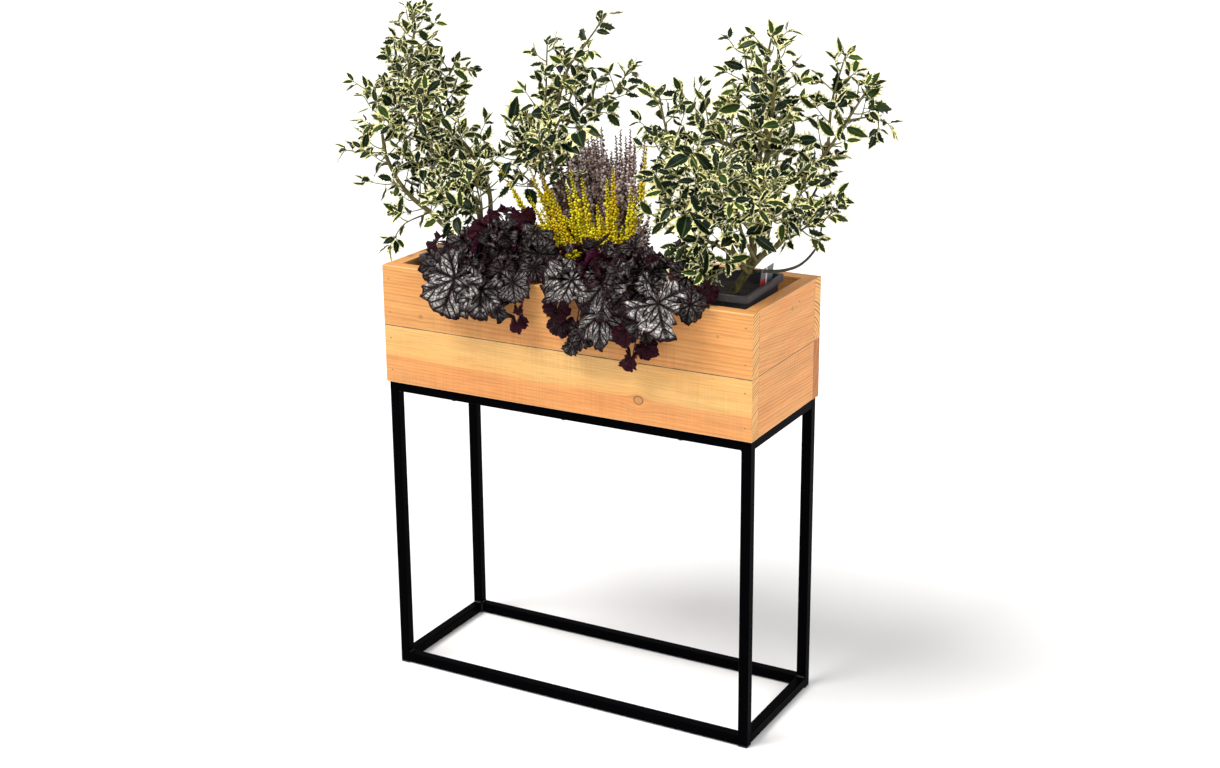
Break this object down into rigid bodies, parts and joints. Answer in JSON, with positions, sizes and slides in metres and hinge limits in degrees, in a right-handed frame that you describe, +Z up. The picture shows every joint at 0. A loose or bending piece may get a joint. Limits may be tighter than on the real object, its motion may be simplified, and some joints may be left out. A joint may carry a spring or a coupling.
{
  "type": "raised planter on legs",
  "caption": "Long timber planter box of two board courses on a welded black square-tube stand, with potted shrubs and foliage standing loose in it.",
  "frame": {"origin": "centre of the footprint, on the floor that the glides stand on", "axes": "+X along the box to its right end, +Y to the back, +Z up"},
  "size_m": [1.24, 0.57, 1.358],
  "materials": {
    "steel": "matt black powder coat on welded square tube",
    "glide": "black plastic insert",
    "larch": "planed softwood board, honey-orange, satin oiled",
    "raw_timber": "sawn softwood, untreated",
    "fasteners": "zinc-plated nails and screws",
    "pot": "thin recycled plastic nursery pot, dark grey",
    "compost": "peaty compost with roots",
    "bark": "smooth olive-brown young bark",
    "holly_leaf": "leathery spiny leaf, dark green with a cream margin",
    "heuchera_leaf": "ruffled leaf, silver-grey between near-black purple veins",
    "heather_yellow": "spikes of small yellow buds",
    "heather_mauve": "spikes of small mauve-brown buds",
    "label": "blank white card with a plain red band"
  },
  "bodies": {
    "planter": {"leg_front_left": "steel", "leg_front_right": "steel", "leg_back_left": "steel", "leg_back_right": "steel", "top_rail_front": "steel", "top_rail_back": "steel", "top_rail_left": "steel", "top_rail_right": "steel", "bottom_rail_front": "steel", "bottom_rail_back": "steel", "bottom_rail_left": "steel", "bottom_rail_right": "steel", "welds_top": "steel", "welds_bottom": "steel", "leg_glides": "glide", "front_board_lower": "larch", "front_board_upper": "larch", "back_board_lower": "larch", "back_board_upper": "larch", "left_end_lower": "larch", "left_end_upper": "larch", "right_end_lower": "larch", "right_end_upper": "larch", "floor_batten_front": "raw_timber", "floor_batten_back": "raw_timber", "floor_slat_1": "raw_timber", "floor_slat_2": "raw_timber", "floor_slat_3": "raw_timber", "floor_slat_4": "raw_timber", "floor_slat_5": "raw_timber", "floor_slat_6": "raw_timber", "cleat_front_left": "raw_timber", "cleat_front_right": "raw_timber", "cleat_back_left": "raw_timber", "cleat_back_right": "raw_timber", "cleat_left_end": "raw_timber", "cleat_right_end": "raw_timber", "corner_nails": "fasteners", "floor_nails": "fasteners", "wall_screws": "fasteners", "frame_screws": "fasteners"},
    "planting": {"pot_holly_left": "pot", "pot_holly_middle": "pot", "pot_holly_right": "pot", "pot_heuchera_left": "pot", "pot_heuchera_right": "pot", "pot_heather": "pot", "compost": "compost", "holly_left_stem": "bark", "holly_middle_stem": "bark", "holly_right_stem": "bark", "holly_left_crown": "holly_leaf", "holly_middle_crown": "holly_leaf", "holly_right_crown": "holly_leaf", "heuchera_left": "heuchera_leaf", "heuchera_right": "heuchera_leaf", "heather_yellow": "heather_yellow", "heather_mauve": "heather_mauve", "plant_label": "label"}
  },
  "joints": [
    {"name": "planting_lift", "type": "slide", "parent": "planter", "child": "planting", "axis": [0, 0, 1], "range_m": [0, 0.3]}
  ]
}
